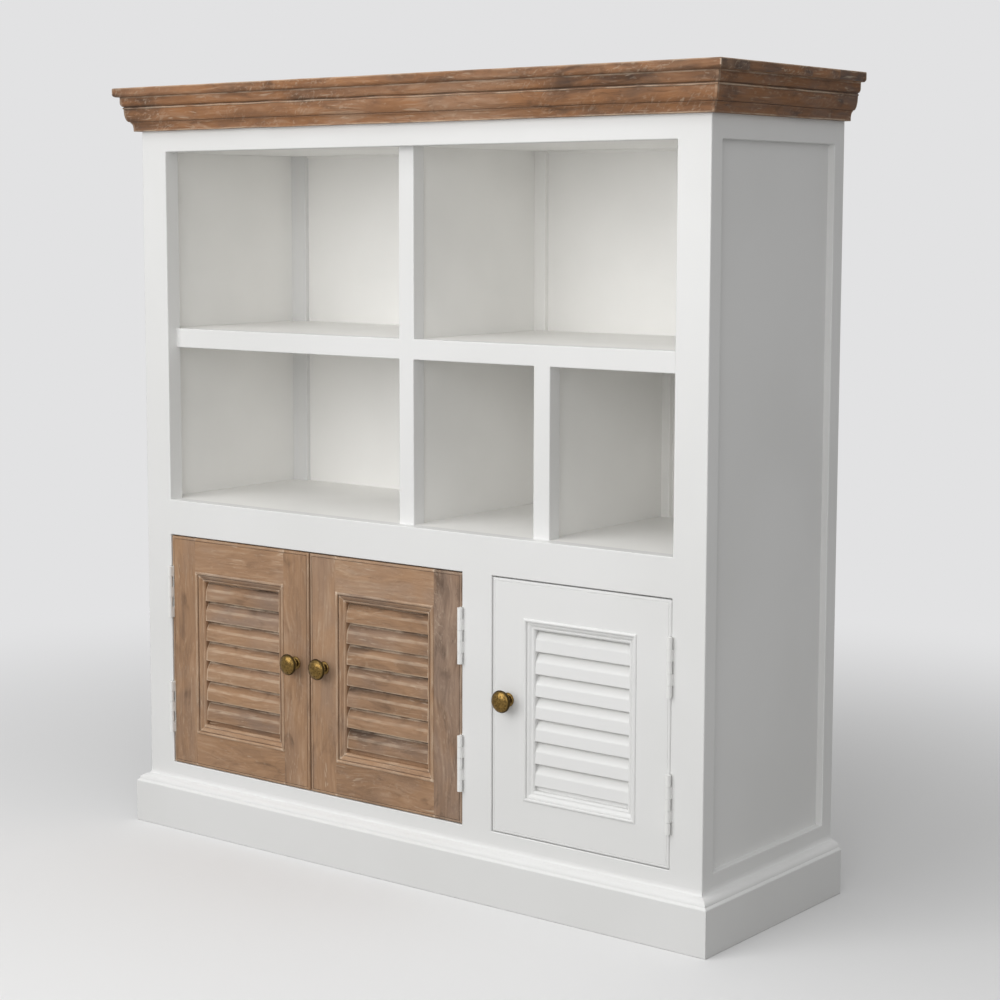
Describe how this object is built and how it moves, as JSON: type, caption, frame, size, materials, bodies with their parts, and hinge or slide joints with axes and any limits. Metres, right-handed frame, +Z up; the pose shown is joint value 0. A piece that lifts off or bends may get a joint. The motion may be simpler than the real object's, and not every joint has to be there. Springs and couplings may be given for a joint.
{
  "type": "bookcase",
  "caption": "Bookcase with open cubbies over a cabinet with louvred hinged doors, a moulded wooden cornice and top board, and a plinth base.",
  "frame": {"origin": "on the floor, under the middle of the whole outline", "axes": "+Z up, +X to the right seen from the front, -Y towards the front with the doors"},
  "size_m": [1.2, 0.41, 1.265],
  "materials": {
    "white_paint": "satin white paint on wood",
    "inside_paint": "satin off-white paint on wood",
    "cornice_wood": "brown stained and waxed wood",
    "door_wood": "brown stained wood, slightly whitewashed",
    "hinge_paint": "white paint on steel",
    "aged_brass": "dark antique brass with a hammered relief"
  },
  "bodies": {
    "carcass": {"left_front_post": "white_paint", "left_rear_post": "white_paint", "left_side_top_rail": "white_paint", "left_side_bottom_rail": "white_paint", "left_side_panel": "white_paint", "right_front_post": "white_paint", "right_rear_post": "white_paint", "right_side_top_rail": "white_paint", "right_side_bottom_rail": "white_paint", "right_side_panel": "white_paint", "front_top_rail": "white_paint", "front_middle_rail": "white_paint", "front_bottom_rail": "white_paint", "door_mullion": "white_paint", "back_top_rail": "inside_paint", "back_panel": "inside_paint", "back_centre_stile": "inside_paint", "small_back_stile": "inside_paint", "ceiling_board": "inside_paint", "upper_shelf": "inside_paint", "middle_shelf": "inside_paint", "cabinet_floor": "inside_paint", "upper_shelf_rail": "white_paint", "centre_mullion": "white_paint", "small_mullion": "white_paint", "centre_divider": "inside_paint", "small_divider": "inside_paint", "door_stop_rail": "inside_paint", "cabinet_divider": "inside_paint", "cornice_front": "cornice_wood", "cornice_left": "cornice_wood", "cornice_right": "cornice_wood", "top_board": "cornice_wood", "plinth_front": "white_paint", "plinth_left": "white_paint", "plinth_right": "white_paint", "left_door_top_hinge_frame_leaf": "hinge_paint", "left_door_bottom_hinge_frame_leaf": "hinge_paint", "middle_door_top_hinge_frame_leaf": "hinge_paint", "middle_door_bottom_hinge_frame_leaf": "hinge_paint", "white_door_top_hinge_frame_leaf": "hinge_paint", "white_door_bottom_hinge_frame_leaf": "hinge_paint"},
    "left_door": {"left_door_frame": "door_wood", "left_door_moulding": "door_wood", "left_door_louvres": "door_wood", "left_door_knob": "aged_brass", "left_door_top_hinge_door_leaf": "hinge_paint", "left_door_bottom_hinge_door_leaf": "hinge_paint"},
    "middle_door": {"middle_door_frame": "door_wood", "middle_door_moulding": "door_wood", "middle_door_louvres": "door_wood", "middle_door_knob": "aged_brass", "middle_door_top_hinge_door_leaf": "hinge_paint", "middle_door_bottom_hinge_door_leaf": "hinge_paint"},
    "white_door": {"white_door_frame": "white_paint", "white_door_moulding": "white_paint", "white_door_louvres": "white_paint", "white_door_knob": "aged_brass", "white_door_top_hinge_door_leaf": "hinge_paint", "white_door_bottom_hinge_door_leaf": "hinge_paint"}
  },
  "joints": [
    {"name": "left_door_hinge", "type": "hinge", "parent": "carcass", "child": "left_door", "pos_m": [-0.50825, -0.1744, 0.31025], "axis": [0, 0, -1], "range_deg": [0, 110]},
    {"name": "middle_door_hinge", "type": "hinge", "parent": "carcass", "child": "middle_door", "pos_m": [0.12643, -0.1744, 0.31025], "axis": [0, 0, 1], "range_deg": [0, 110]},
    {"name": "white_door_hinge", "type": "hinge", "parent": "carcass", "child": "white_door", "pos_m": [0.50825, -0.1744, 0.31025], "axis": [0, 0, 1], "range_deg": [0, 110]}
  ]
}
